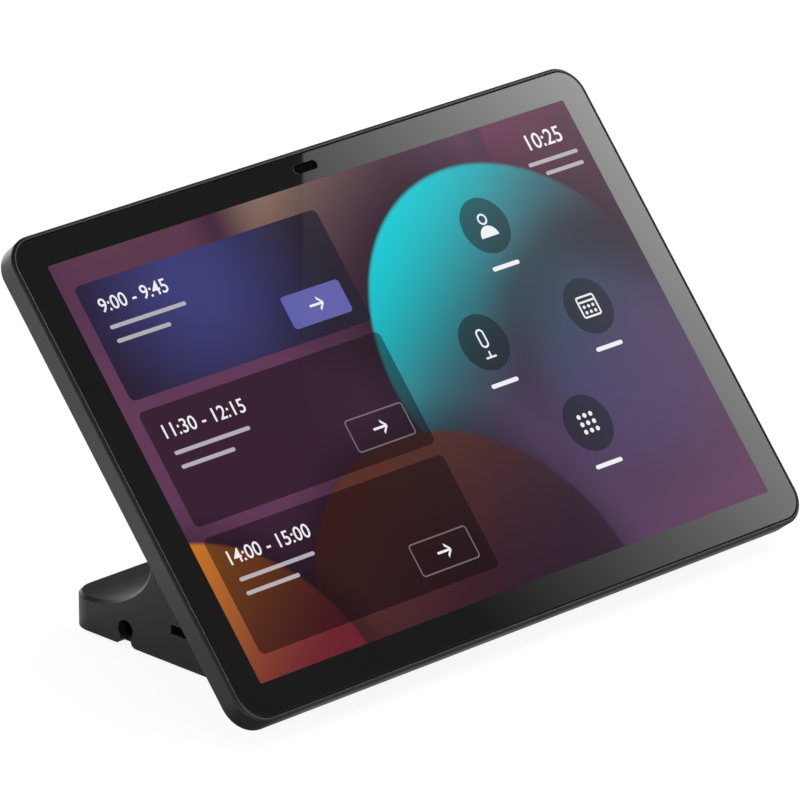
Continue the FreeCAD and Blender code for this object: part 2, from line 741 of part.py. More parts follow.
def side_outline(inset):
    """Side view of the stand, or of its hollow when set in by a wall; the hollow opens below and in front."""
    open_by = PAST if inset else 0.0
    wide = (rear_y - SCOOP_START, rim_z + FOOT_HEIGHT + SCOOP_WIDE_RADIUS)
    tight = scoop_point(wide, SCOOP_WIDE_RADIUS - SCOOP_TIGHT_RADIUS, SCOOP_WIDE_TURN)
    wide_start = scoop_point(wide, SCOOP_WIDE_RADIUS + inset, 0.0)
    wide_middle = scoop_point(wide, SCOOP_WIDE_RADIUS + inset, SCOOP_WIDE_TURN / 2)
    wide_end = scoop_point(wide, SCOOP_WIDE_RADIUS + inset, SCOOP_WIDE_TURN)
    tight_middle = scoop_point(tight, SCOOP_TIGHT_RADIUS + inset, (SCOOP_WIDE_TURN + NECK_TURN) / 2)
    tight_end = scoop_point(tight, SCOOP_TIGHT_RADIUS + inset, NECK_TURN)

    # The neck runs on straight to its top, which is square to the panel, over a round corner
    lean = math.radians(NECK_TURN)
    ahead = (-math.cos(lean), math.sin(lean))
    climb = ahead[0] * math.cos(TILT) + ahead[1] * math.sin(TILT)
    height = (tight_end[0] - panel_y) * math.cos(TILT) + (tight_end[1] - panel_z) * math.sin(TILT)
    run = (neck_v - inset - height) / climb
    corner = (tight_end[0] + run * ahead[0], tight_end[1] + run * ahead[1])
    inward = (-math.sin(TILT), math.cos(TILT))
    half_turn = math.acos(ahead[0] * inward[0] + ahead[1] * inward[1]) / 2
    radius = NECK_ROUND - inset
    cut = radius * math.tan(half_turn)
    enter = (corner[0] - cut * ahead[0], corner[1] - cut * ahead[1])
    leave = (corner[0] + cut * inward[0], corner[1] + cut * inward[1])
    bisector = (inward[0] - ahead[0], inward[1] - ahead[1])
    reach = radius * (1 / math.cos(half_turn) - 1) / math.hypot(*bisector)
    round_middle = (corner[0] + bisector[0] * reach, corner[1] + bisector[1] * reach)

    plane = panel_depth - open_by
    neck_front = panel_point(neck_v - inset, plane)
    wall_y = front_y + inset
    wall_top = panel_point(along_panel(wall_y, plane), plane)
    floor = rim_z - open_by
    past_rear = rear_y + STAND_CORNER
    top = rim_z + FOOT_HEIGHT - inset

    def at(point):
        return Vec(0, point[0], point[1])

    arcs = [(wide_start, wide_middle, wide_end), (wide_end, tight_middle, tight_end),
            (enter, round_middle, leave)]
    lines = [(tight_end, enter), (leave, neck_front), (neck_front, wall_top), (wall_top, (wall_y, floor)),
             ((wall_y, floor), (past_rear, floor)), ((past_rear, floor), (past_rear, top)),
             ((past_rear, top), wide_start)]
    edges = [Part.Arc(at(a), at(b), at(c)).toShape() for a, b, c in arcs]
    edges += [Part.LineSegment(at(a), at(b)).toShape() for a, b in lines]
    return Part.Wire(Part.__sortEdges__(edges))


def plan_block(inset):
    """Space inside the stand's side and rear walls, set in by inset, round at the rear corners."""
    rear = rear_y - inset
    front = panel_y - PANEL_HEIGHT
    return slab(STAND_WIDTH - 2 * inset, rear - front, STAND_CORNER - inset, rim_z - PAST,
                panel_z + PANEL_HEIGHT / 2, (0.0, (rear + front) / 2))


def stand_solid(inset):
    side = Part.Face(side_outline(inset))
    side.translate(Vec(-STAND_WIDTH, 0, 0))
    return side.extrude(Vec(2 * STAND_WIDTH, 0, 0)).common(plan_block(inset))


def is_top_edge(edge):
    """True for the edges where the stand's scooped top meets its side and rear walls."""
    ends = [v.Point for v in edge.Vertexes]
    middle = edge.valueAt((edge.FirstParameter + edge.LastParameter) / 2)
    if min(p.z for p in ends) < rim_z + FOOT_HEIGHT / 2:
        return False
    heights = [(p.z - panel_z) * math.sin(TILT) + (p.y - panel_y) * math.cos(TILT) for p in ends]
    if all(abs(panel_point(h, panel_depth)[0] - p.y) < NEAR for h, p in zip(heights, ends)):
        return False
    return abs(middle.x) > STAND_WIDTH / 2 - STAND_CORNER or middle.y > rear_y - STAND_CORNER / 2


def wall_layer(inset, thick):
    """Layer of even thickness just inside the stand's walls."""
    return plan_block(inset).cut(plan_block(inset + thick))


def outlet_cutter():
    """Keyhole: a round hole with a throat down to the rim, flared at its mouth."""
    y = rear_y - OUTLET_FROM_REAR
    z = rim_z + OUTLET_HEIGHT
    half = THROAT_WIDTH / 2
    wide = half + THROAT_FLARE
    up = rim_z + THROAT_FLARE
    bend = THROAT_FLARE * (1 - math.sqrt(0.5))

    def at(dy, height):
        return Vec(0, y + dy, height)

    edges = [Part.LineSegment(at(-wide, rim_z - PAST), at(-wide, rim_z)),
             Part.Arc(at(-wide, rim_z), at(-half - bend, rim_z + bend), at(-half, up)),
             Part.LineSegment(at(-half, up), at(-half, z)), Part.LineSegment(at(-half, z), at(half, z)),
             Part.LineSegment(at(half, z), at(half, up)),
             Part.Arc(at(half, up), at(half + bend, rim_z + bend), at(wide, rim_z)),
             Part.LineSegment(at(wide, rim_z), at(wide, rim_z - PAST)),
             Part.LineSegment(at(wide, rim_z - PAST), at(-wide, rim_z - PAST))]
    throat = Part.Face(Part.Wire([e.toShape() for e in edges]))
    throat.translate(Vec(-STAND_WIDTH, 0, 0))
    hole = Part.makeCylinder(OUTLET_RADIUS, STAND_WIDTH, Vec(-STAND_WIDTH, y, z), Vec(1, 0, 0))
    return throat.extrude(Vec(STAND_WIDTH, 0, 0)).fuse(hole)


def lock_slot_cutter(margin):
    """Bar through the left wall, as long and wide as the lock slot plus a margin."""
    high = rear_y - LOCK_FROM_REAR + margin
    low = rear_y - LOCK_FROM_REAR - LOCK_LENGTH - margin
    z = rim_z + LOCK_HEIGHT
    half = LOCK_WIDTH / 2 + margin
    return block((-STAND_WIDTH, low, z - half), (0.0, high, z + half))


def screw_bosses():
    """Bosses for the stand screws, each with a web to the wall beside it."""
    bosses = []
    for u, v in stand_screw_places():
        side = math.copysign(1, u)
        boss = rod(BOSS_RADIUS, z_back - BOSS_LENGTH, z_back, u, v)
        reach = side * (STAND_WIDTH / 2 + PAST)
        web = block((min(u, reach), v - BOSS_WEB / 2, z_back - BOSS_LENGTH),
                    (max(u, reach), v + BOSS_WEB / 2, z_back))
        bosses.append(on_panel(boss.fuse(web)))
    return bosses


def boss_holes():
    return [on_panel(rod(SCREW_RADIUS + SCREW_CLEAR, z_back - BOSS_LENGTH - PAST, z_back + PAST, u, v))
            for u, v in stand_screw_places()]


def cover_stops():
    """Short ledges on the side walls that the base cover is pushed up against."""
    layer = wall_layer(STAND_WALL, STOP_REACH)
    stops = []
    for from_rear in STOPS_FROM_REAR:
        high = rear_y - STAND_WALL - from_rear
        for side in (-1, 1):
            reach = side * STAND_WIDTH
            zone = block((min(0.0, reach), high - STOP_LENGTH, cover_top),
                         (max(0.0, reach), high, cover_top + STOP_HEIGHT))
            stops.append(layer.common(zone))
    return stops


def stand_shell():
    outer = stand_solid(0.0)
    outer = outer.makeChamfer(EDGE_CHAMFER, [e for e in outer.Edges if is_top_edge(e)])
    shell = outer.cut(stand_solid(STAND_WALL))
    for boss in screw_bosses():
        shell = shell.fuse(boss.common(outer))
    for stop in cover_stops():
        shell = shell.fuse(stop)
    for hole in boss_holes():
        shell = shell.cut(hole)
    return shell.cut(outlet_cutter()).cut(lock_slot_cutter(0.0)).removeSplitter()


def lock_plate():
    layer = wall_layer(STAND_WALL, LOCK_PLATE_THICK)
    return layer.common(lock_slot_cutter(LOCK_PLATE_MARGIN)).cut(lock_slot_cutter(0.0))


# Base cover and feet

def snap_tongues():
    """Springy tongues inside the front and rear walls."""
    tongues = []
    rear = rear_y - STAND_WALL - COVER_GAP
    front = front_y + STAND_WALL + COVER_GAP
    top = cover_top + TONGUE_HEIGHT
    for side in (-1, 1):
        low_x = side * TONGUE_PLACE - TONGUE_WIDTH / 2
        high_x = low_x + TONGUE_WIDTH
        tongues.append(block((low_x, rear - TONGUE_THICK, rim_z + COVER_THICK / 2), (high_x, rear, top)))
        tongues.append(block((low_x, front, rim_z + COVER_THICK / 2), (high_x, front + TONGUE_THICK, top)))
    return tongues


def foot_places():
    x = STAND_WIDTH / 2 - FOOT_INSET_SIDE - FOOT_LENGTH / 2
    rear = rear_y - FOOT_INSET_REAR - FOOT_WIDTH / 2
    front = front_y + FOOT_INSET_FRONT + FOOT_WIDTH / 2
    return [(side * x, y) for side in (-1, 1) for y in (front, rear)]


def foot_pad(place, clear, z_from, z_to):
    return slab(FOOT_LENGTH + 2 * clear, FOOT_WIDTH + 2 * clear, (FOOT_WIDTH - STRAIGHT_LEFT) / 2 + clear,
                z_from, z_to, place)


def base_cover():
    zone = block((-STAND_WIDTH, front_y + STAND_WALL + COVER_GAP, rim_z), (STAND_WIDTH, rear_y, cover_top))
    cover = plan_block(STAND_WALL + COVER_GAP).common(zone)
    for tongue in snap_tongues():
        cover = cover.fuse(tongue)
    for place in foot_places():
        cover = cover.cut(foot_pad(place, FIT, rim_z - PAST, rim_z + FOOT_SINK))
    groove = Part.makeCylinder(OUTLET_RADIUS + COVER_GAP, GROOVE_LENGTH,
                               Vec(-STAND_WIDTH / 2, rear_y - OUTLET_FROM_REAR, rim_z + OUTLET_HEIGHT),
                               Vec(1, 0, 0))
    return cover.cut(groove).removeSplitter()


def rubber_feet():
    bottom = rim_z - FOOT_PROUD
    return Part.makeCompound([foot_pad(place, 0.0, bottom, rim_z + FOOT_SINK) for place in foot_places()])


panel_pieces = (cover_glass, sensor_lens, glass_adhesive, touch_sensor, lcd_cell, backlight_unit,
                carrier_frame, mid_plate, sensor_board, presence_sensor, rear_housing, stand_screws,
                main_board, board_screws, processor_shield, ethernet_jack, jack_contacts, usb_socket,
                usb_tongue, reset_switch, reset_button, power_transformer, bulk_capacitors,
                flex_sockets, display_flex, touch_flex, sensor_flex)
stand_pieces = (stand_shell, lock_plate, base_cover, rubber_feet)

os.makedirs("parts", exist_ok=True)
for piece in panel_pieces:
    on_panel(piece()).exportStep(f"parts/{piece.__name__}.step")
for piece in stand_pieces:
    piece().exportStep(f"parts/{piece.__name__}.step")
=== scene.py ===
import math

import bpy
import numpy as np
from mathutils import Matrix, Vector


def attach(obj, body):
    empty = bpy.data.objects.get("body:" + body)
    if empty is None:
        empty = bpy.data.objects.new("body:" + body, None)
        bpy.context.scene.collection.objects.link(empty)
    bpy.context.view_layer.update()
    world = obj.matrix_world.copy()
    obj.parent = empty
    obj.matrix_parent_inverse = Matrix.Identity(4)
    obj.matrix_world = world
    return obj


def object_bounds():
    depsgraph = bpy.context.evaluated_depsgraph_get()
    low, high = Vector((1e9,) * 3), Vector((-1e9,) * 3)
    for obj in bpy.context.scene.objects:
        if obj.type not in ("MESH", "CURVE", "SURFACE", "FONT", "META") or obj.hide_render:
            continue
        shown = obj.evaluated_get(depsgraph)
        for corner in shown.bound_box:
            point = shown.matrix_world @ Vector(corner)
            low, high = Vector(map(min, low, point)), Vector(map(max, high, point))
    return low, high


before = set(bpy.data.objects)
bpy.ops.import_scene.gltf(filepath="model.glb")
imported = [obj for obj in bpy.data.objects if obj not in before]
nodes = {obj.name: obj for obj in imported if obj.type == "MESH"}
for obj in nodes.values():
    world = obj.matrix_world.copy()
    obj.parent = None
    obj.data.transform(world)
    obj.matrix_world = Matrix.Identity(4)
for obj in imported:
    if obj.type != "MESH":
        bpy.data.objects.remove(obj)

cad_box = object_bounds()
scene = bpy.context.scene


# Rear housing: a shallow tray that carries the display and ends in the thin lip round the glass.
# It is injection moulded in black polycarbonate and ABS, in a tool with a fine eroded grain.
def linear(code):
    """Linear colour of an sRGB hex code, by the sRGB curve."""
    share = np.array([int(code[i:i + 2], 16) for i in (1, 3, 5)]) / 255
    curve = np.where(share <= 0.04045, share / 12.92, ((share + 0.055) / 1.055) ** 2.4)
    return (*curve, 1.0)


def add(tree, kind, sockets=None, **settings):
    """Add one node: settings are its options, sockets its inputs, each a plain value or an output to link."""
    made = tree.nodes.new("ShaderNode" + kind)
    for option, value in settings.items():
        setattr(made, option, value)
    for name, value in (sockets or {}).items():
        if isinstance(value, bpy.types.NodeSocket):
            tree.links.new(value, made.inputs[name])
        else:
            made.inputs[name].default_value = value
    return made


def begin(name, **values):
    """A new material with its node tree and its Principled shader, whose sockets get plain values."""
    material = bpy.data.materials.new(name)
    material.use_nodes = True
    shader = material.node_tree.nodes["Principled BSDF"]
    for socket, value in values.items():
        shader.inputs[socket.replace("_", " ")].default_value = value
    return material, material.node_tree, shader


def connect(tree, shader, **outputs):
    """Link outputs to the shader's sockets; underscores in their names stand for spaces."""
    for name, output in outputs.items():
        tree.links.new(output, shader.inputs[name.replace("_", " ")])


def moulded(name, low, high, roughness, grain_mm, edge_mm, specular=0.5, drift_mm=25.0, drift_gloss=0.04):
    """Moulded plastic: pits of the tool's grain as bump and tone, slow drifts of gloss, soft edges."""
    material, tree, shader = begin(name, IOR=1.5, Specular_IOR_Level=specular)
    place = add(tree, "TexCoord").outputs["Object"]
    grain = add(tree, "TexNoise", {"Vector": place, "Scale": 1000 / grain_mm, "Detail": 2.0}).outputs[0]
    drift = add(tree, "TexNoise", {"Vector": place, "Scale": 1000 / drift_mm, "Detail": 2.0}).outputs[0]
    tone = add(tree, "Mix", {0: grain, 6: linear(low), 7: linear(high)}, data_type="RGBA").outputs[2]
    gloss = add(tree, "MapRange", {"Value": drift, "From Min": 0.3, "From Max": 0.7,
                                   "To Min": roughness - drift_gloss,
                                   "To Max": roughness + drift_gloss}).outputs[0]
    edge = add(tree, "Bevel", {"Radius": edge_mm * 1e-3}, samples=6).outputs[0]
    pit_depth = grain_mm * 2e-4
    bump = add(tree, "Bump", {"Height": grain, "Normal": edge, "Strength": 0.2,
                              "Distance": pit_depth}).outputs[0]
    connect(tree, shader, Base_Color=tone, Roughness=gloss, Normal=bump)
    return material


def finish(node, material):
    """Give a node of the frame its material, through its slot."""
    nodes[node].material_slots[0].material = material


# Matt black moulding: the grain breaks up reflections, so walls show a soft even grey sheen.
finish("rear_housing", moulded("grained_black_pc_abs", "#1a1a1c", "#202022", roughness=0.42, grain_mm=0.35,
                               edge_mm=0.5, specular=0.55))

# Carrier frame and mid plate: a glass-filled nylon frame that holds the display's edges, and the
# stamped aluminium sheet behind it, with hexagon spacers pressed in for the main board.
panel_tilt = math.radians(50.0)
# Glass-filled nylon: dull, with the grey flecks of its fibres.
finish("carrier_frame", moulded("glass_filled_nylon", "#1c1c1d", "#2a2a2a", roughness=0.6, grain_mm=0.5,
                                edge_mm=0.2))


def drawn_metal(name, bright, dull, roughness, line_mm, line_gloss=0.08):
    """Rolled or drawn metal: long fine lines across the panel vary its tone and gloss."""
    material, tree, shader = begin(name, Metallic=1.0)
    place = add(tree, "TexCoord").outputs["Object"]
    along = add(tree, "Mapping", {"Vector": place, "Rotation": (-panel_tilt, 0.0, 0.0),
                                  "Scale": (0.03, 1.0, 1.0)}).outputs[0]
    lines = add(tree, "TexNoise", {"Vector": along, "Scale": 1000 / line_mm, "Detail": 3.0}).outputs[0]
    tone = add(tree, "Mix", {0: lines, 6: linear(bright), 7: linear(dull)}, data_type="RGBA").outputs[2]
    gloss = add(tree, "MapRange", {"Value": lines, "From Min": 0.3, "From Max": 0.7,
                                   "To Min": roughness - line_gloss,
                                   "To Max": roughness + line_gloss}).outputs[0]
    line_depth = line_mm * 1e-4
    bump = add(tree, "Bump", {"Height": lines, "Strength": 0.1, "Distance": line_depth}).outputs[0]
    connect(tree, shader, Base_Color=tone, Roughness=gloss, Normal=bump)
    return material


# Rolled aluminium: pale and satin, with the faint streaks of the mill.
finish("mid_plate", drawn_metal("rolled_aluminium", "#d6d7d9", "#bfc0c3", roughness=0.38, line_mm=0.3))

# Display stack behind the glass: foam tape, touch film, liquid crystal cell and backlight, each a
# flat sheet laminated to the next, so only their edges ever show.
# Foam tape: black and quite dull, open-celled where it was cut.
finish("glass_adhesive", moulded("black_foam_tape", "#141414", "#242424", roughness=0.85, grain_mm=0.25,
                                 edge_mm=0.05, specular=0.3))
# Coated film: smooth, with a grey tint from its conducting layer.
finish("touch_sensor", moulded("coated_pet_film", "#8b8d92", "#9a9ca0", roughness=0.2, grain_mm=0.8,
                               edge_mm=0.05))
# Light guide and its frame: satin white, and even all over.
finish("backlight_unit", moulded("white_light_guide", "#e2e2de", "#f0f0ec", roughness=0.35, grain_mm=1.2,
                                 edge_mm=0.1))


def pixel_glass(name, dark, light, pitch_mm, smear_mm=30.0):
    """Polished cell glass over a fine grid of pixels, lighter along the grid's lines."""
    material, tree, shader = begin(name, IOR=1.52)
    place = add(tree, "TexCoord").outputs["Object"]
    flat = add(tree, "Mapping", {"Vector": place, "Rotation": (-panel_tilt, 0.0, 0.0)}).outputs[0]
    grid = add(tree, "TexBrick", {"Vector": flat, "Color1": linear(dark), "Color2": linear(dark),
                                  "Mortar": linear(light), "Scale": 1000 / pitch_mm, "Brick Width": 1.0,
                                  "Row Height": 1.0, "Mortar Size": 0.06}, offset=0.0).outputs[0]
    smear = add(tree, "TexNoise", {"Vector": place, "Scale": 1000 / smear_mm}).outputs[0]
    gloss = add(tree, "MapRange", {"Value": smear, "To Min": 0.04, "To Max": 0.12}).outputs[0]
    connect(tree, shader, Base_Color=grid, Roughness=gloss)
    return material


# Cell glass: the grid is drawn ten times coarser than the real pixels, which are too fine to show.
finish("lcd_cell", pixel_glass("display_cell_glass", "#101016", "#2a2a33", pitch_mm=1.4))


# Presence sensor: a small can on its own board, behind a smoked lens that plugs the pill-shaped
# hole in the glass from inside.
def circuit_board(name, mask, trace, cell_mm, drift_mm=6.0):
    """Solder mask over copper: traces run where two cells are equally far, measured along the board's axes,
    so they turn in straight steps. They show as a lighter tone and stand a little proud."""
    material, tree, shader = begin(name)
    place = add(tree, "TexCoord").outputs["Object"]
    flat = add(tree, "Mapping", {"Vector": place, "Rotation": (-panel_tilt, 0.0, 0.0)}).outputs[0]
    first, second = (add(tree, "TexVoronoi", {"Vector": flat, "Scale": 1000 / cell_mm}, feature=feature,
                         distance="MANHATTAN", voronoi_dimensions="2D").outputs[0]
                     for feature in ("F1", "F2"))
    apart = add(tree, "Math", {0: second, 1: first}, operation="SUBTRACT").outputs[0]
    copper = add(tree, "MapRange", {"Value": apart, "From Min": 0.06, "From Max": 0.1, "To Min": 1.0,
                                    "To Max": 0.0}).outputs[0]
    tone = add(tree, "Mix", {0: copper, 6: linear(mask), 7: linear(trace)}, data_type="RGBA").outputs[2]
    copper_height = 3e-5
    bump = add(tree, "Bump", {"Height": copper, "Strength": 0.3, "Distance": copper_height}).outputs[0]
    drift = add(tree, "TexNoise", {"Vector": flat, "Scale": 1000 / drift_mm, "Detail": 1.0}).outputs[0]
    gloss = add(tree, "MapRange", {"Value": drift, "To Min": 0.25, "To Max": 0.4}).outputs[0]
    connect(tree, shader, Base_Color=tone, Roughness=gloss, Normal=bump)
    return material


# Green solder mask: glossy lacquer, paler over the copper. The traces are drawn wider apart than real ones.
board_green = circuit_board("green_solder_mask", "#0d4a28", "#2a7a48", cell_mm=2.0)
finish("sensor_board", board_green)
# Tinned can: soft grey shine with drawing lines.
finish("presence_sensor", drawn_metal("tinned_can", "#c9c8c2", "#a9a8a2", roughness=0.35, line_mm=0.2))
# Smoked acrylic: near black and smooth, duller than the glass round it.
finish("sensor_lens", moulded("smoked_acrylic", "#020203", "#040405", roughness=0.3, grain_mm=0.6,
                              edge_mm=0.1, specular=0.01))


# Cover glass: one sheet of hardened glass with a black border printed on its back, ground edges
# and a pill-shaped hole, bonded into the lip with foam tape.
def polished_glass(name, deep, pale, edge_mm, wipe_mm=18.0):
    """Black-backed glass: a clear polish, with the faintest change of gloss where it was wiped."""
    material, tree, shader = begin(name, IOR=1.5)
    place = add(tree, "TexCoord").outputs["Object"]
    wiped = add(tree, "TexNoise", {"Vector": place, "Scale": 1000 / wipe_mm, "Detail": 3.0}).outputs[0]
    tone = add(tree, "Mix", {0: wiped, 6: linear(deep), 7: linear(pale)}, data_type="RGBA").outputs[2]
    gloss = add(tree, "MapRange", {"Value": wiped, "To Min": 0.005, "To Max": 0.025}).outputs[0]
    edge = add(tree, "Bevel", {"Radius": edge_mm * 1e-3}, samples=6).outputs[0]
    connect(tree, shader, Base_Color=tone, Roughness=gloss, Normal=edge)
    return material


# Hardened glass: hard clear reflections over the even black of the print.
finish("cover_glass", polished_glass("black_backed_glass", "#1e1e1e", "#222222", edge_mm=0.1))

# The lit picture: what the display shows, drawn as thin films on the glass over the cell's active
# area. Wide discs of coloured light fill the ground.
display_size = np.array((171.0, 108.8))
display_lift = 0.27
display_corner = 0.3
film_thick = 0.02
across = np.array((1.0, 0.0, 0.0))
upward = np.array((0.0, math.cos(panel_tilt), math.sin(panel_tilt)))
outward = np.array((0.0, -math.sin(panel_tilt), math.cos(panel_tilt)))
panel_axes = np.stack((across, upward, outward))
glass_corners = np.empty(len(nodes["cover_glass"].data.vertices) * 3, np.float32)
nodes["cover_glass"].data.vertices.foreach_get("co", glass_corners)
glass_corners = glass_corners.reshape(-1, 3) @ panel_axes.T
glass_middle = (glass_corners.min(0) + glass_corners.max(0)) / 2
glass_front = np.array((*glass_middle[:2], glass_corners[:, 2].max())) @ panel_axes


def rounded(size, corner, middle=(0.0, 0.0), steps=7):
    """Outline of a rectangle with round corners: quarter circles about the four corner centres, in turn."""
    angle = np.arange(4)[:, None] * math.pi / 2 + np.linspace(0, math.pi / 2, steps)
    sides = np.array(((1, 1), (-1, 1), (-1, -1), (1, -1)))
    centres = np.array(middle) + sides * (np.array(size) / 2 - corner)
    ring = np.stack((np.cos(angle), np.sin(angle)), -1)
    return (centres[:, None] + corner * ring).reshape(-1, 2)


def disc(radius, middle=(0.0, 0.0), steps=40):
    """Outline of a circle: the point that turns once about the middle."""
    angle = np.arange(steps) * 2 * math.pi / steps
    return np.array(middle) + radius * np.stack((np.cos(angle), np.sin(angle)), -1)


def film(outline, level, inner=None):
    """Closed film on a level of the picture: its outline at two heights, capped, or closed by an inner
    outline. Gives its points, and its faces as arrays of faces with equal numbers of corners."""
    low, high = (level - 0.5) * film_thick, (level + 1) * film_thick
    rings = [(outline, low), (outline, high)] + ([] if inner is None else [(inner, high), (inner, low)])
    points = np.concatenate([np.column_stack((flat, np.full(len(flat), z))) for flat, z in rings])
    count = len(outline)
    spot = np.arange(count)
    ahead = (spot + 1) % count
    start = np.arange(1 if inner is None else len(rings))[:, None] * count
    onward = (start + count) % len(points)
    walls = np.stack((start + spot, start + ahead, onward + ahead, onward + spot), -1).reshape(-1, 4)
    caps = [(spot + count)[None], spot[None, ::-1]] if inner is None else []
    return points, [walls, *caps]


def lay(name, films, material):
    """Set films, given in millimetres across and up the panel, on the glass as one piece of the console."""
    first = np.cumsum([0] + [len(points) for points, _ in films])
    flat = np.concatenate([points for points, _ in films])
    faces = [face for (_, groups), base in zip(films, first)
             for group in groups for face in (group + base).tolist()]
    placed = glass_front + (flat[:, :1] * across + flat[:, 1:2] * upward + flat[:, 2:] * outward) * 1e-3
    mesh = bpy.data.meshes.new(name)
    mesh.from_pydata(placed.tolist(), [], faces)
    corner = np.empty(len(mesh.loops), np.int32)
    mesh.loops.foreach_get("vertex_index", corner)
    layer = mesh.uv_layers.new(name="picture")
    layer.uv.foreach_set("vector", (flat[corner, :2] / 100).astype(np.float32).ravel())
    mesh.materials.append(material)
    piece = bpy.data.objects.new(name, mesh)
    scene.collection.objects.link(piece)
    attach(piece, "console")


# Each disc of light: its middle and radius (mm), colours of its lit and its far side, how far each side
# covers what lies under it, and how wide its rim fades.
glows = (((-34, 62), 60, "#a8826c", "#4a2f38", 0.9, 0.2, 0.8),
         ((64, -56), 80, "#4f5a94", "#5b3a63", 0.95, 0.1, 0.9),
         ((98, 46), 44, "#7a3a5c", "#33152c", 0.9, 0.7, 0.05),
         ((4, 46), 40, "#b89a84", "#3a2230", 0.95, 0.6, 0.5),
         ((40, 0), 48, "#06ced8", "#0c3346", 0.98, 0.05, 0.03),
         ((66, -10), 36, "#136470", "#434a80", 0.6, 0.2, 0.6),
         ((-14, -60), 50, "#5e3328", "#2a1726", 0.95, 0.8, 0.03),
         ((-96, -62), 46, "#d88424", "#6c2430", 0.98, 0.95, 0.03))
glow_side = np.array((-0.55, 0.83, 0.0))
glow_far, glow_near = -0.3, 1.1
shade_depth = 0.55
shade_from, shade_to = 0.9, 1.22


def spread(tree, place, middle, radius):
    """Place from a middle, in radii: the vector and its length."""
    away = add(tree, "VectorMath", {0: place, 1: (middle[0] / 100, middle[1] / 100, 0.0)},
               operation="SUBTRACT").outputs[0]
    share = add(tree, "VectorMath", {0: away, 3: 100 / radius}, operation="SCALE").outputs[0]
    return share, add(tree, "VectorMath", {0: share}, operation="LENGTH").outputs[1]


def picture_colour(tree, place):
    """Colour of the picture: discs laid over a plum ground, each shaded from its lit side to its far side,
    and each with a soft shadow round its rim."""
    drift = add(tree, "TexNoise", {"Vector": place, "Scale": 2.0, "Detail": 0.0}).outputs[0]
    colour = add(tree, "Mix", {0: drift, 6: linear("#5a3450"), 7: linear("#6b4262")},
                 data_type="RGBA").outputs[2]
    for middle, radius, tint, far, near_share, far_share, fade in glows:
        share, reach = spread(tree, place, middle, radius)
        lean = add(tree, "VectorMath", {0: share, 1: glow_side}, operation="DOT_PRODUCT").outputs[1]
        side = add(tree, "MapRange", {"Value": lean, "From Min": glow_far, "From Max": glow_near},
                   interpolation_type="SMOOTHSTEP").outputs[0]
        cover = add(tree, "MapRange", {"Value": side, "To Min": far_share, "To Max": near_share}).outputs[0]
        shade = add(tree, "MapRange", {"Value": reach, "From Min": shade_from, "From Max": shade_to,
                                       "To Min": shade_depth, "To Max": 0.0},
                    interpolation_type="SMOOTHSTEP").outputs[0]
        inside = add(tree, "MapRange", {"Value": reach, "From Min": 1 - fade, "From Max": 1.0, "To Min": 1.0,
                                        "To Max": 0.0}, interpolation_type="SMOOTHSTEP").outputs[0]
        shade = add(tree, "Math", {0: shade, 1: cover}, operation="MULTIPLY").outputs[0]
        inside = add(tree, "Math", {0: inside, 1: cover}, operation="MULTIPLY").outputs[0]
        tone = add(tree, "Mix", {0: side, 6: linear(far), 7: linear(tint)}, data_type="RGBA").outputs[2]
        colour = add(tree, "Mix", {0: shade, 6: colour, 7: linear("#0c080e")}, data_type="RGBA").outputs[2]
        colour = add(tree, "Mix", {0: inside, 6: colour, 7: tone}, data_type="RGBA").outputs[2]
    return colour


def lit(name, tint=None, share=0.0, glow=None):
    """Lit pixels under polished glass, as their own light: the picture's colour under a share of a tint,
    and a round glow in a second tint."""
    material, tree, shader = begin(name, Emission_Strength=1.0, Base_Color=linear("#030303"), Roughness=0.01,
                                   IOR=1.5, Specular_IOR_Level=0.08)
    place = add(tree, "UVMap", uv_map="picture").outputs[0]
    colour = picture_colour(tree, place)
    if tint:
        colour = add(tree, "Mix", {0: share, 6: colour, 7: linear(tint)}, data_type="RGBA").outputs[2]
    if glow:
        middle, radius, glow_tint = glow
        reach = spread(tree, place, middle, radius)[1]
        near = add(tree, "MapRange", {"Value": reach, "To Min": 1.0, "To Max": 0.0},
                   interpolation_type="SMOOTHSTEP").outputs[0]
        colour = add(tree, "Mix", {0: near, 6: colour, 7: linear(glow_tint)}, data_type="RGBA").outputs[2]
    connect(tree, shader, Emission_Color=colour)
    return material


# Display light: pure colour with no grain, under glass coated against glare.
lay("screen_picture", [film(rounded(display_size, display_corner, (0.0, display_lift)), 0)],
    lit("display_light"))

# Cards on the picture: three darkened sheets at the left, each for one booking, with a button at the
# right end. The first is the next to come, in blue with a filled button.
card_size = np.array((78.0, 30.0))
card_left = -81.5
card_corner = 1.6
card_rows = (33.0, 0.0, -33.0)
card_middle = card_left + card_size[0] / 2
card_glow = (card_middle - 6.0, card_rows[0] + 7.0)
card_glow_radius = 42.0
button_size = np.array((19.0, 8.6))
button_corner = 1.0
button_line = 0.35
button_margin = np.array((4.0, 3.6))
button_middle = card_left + card_size[0] - button_margin[0] - button_size[0] / 2
button_rise = button_margin[1] + button_size[1] / 2 - card_size[1] / 2
button_spots = [(button_middle, row + button_rise) for row in card_rows]
cards = [film(rounded(card_size, card_corner, (card_middle, row)), 1) for row in card_rows]
lay("booking_card_next", cards[:1],
    lit("display_light_blue", "#1d1c2b", 0.88, (card_glow, card_glow_radius, "#40417a")))
lay("booking_cards_later", cards[1:], lit("display_light_dim", "#120c12", 0.68))
lay("booking_button_filled", [film(rounded(button_size, button_corner, button_spots[0]), 2)],
    lit("display_light_violet", "#6264ad", 0.95))


def hoop(size, corner, middle, line, level=2):
    """Drawn line of even width round a rectangle with round corners: the band between two outlines."""
    inner = rounded(np.array(size) - 2 * line, corner - line, middle)
    return film(rounded(size, corner, middle), level, inner)


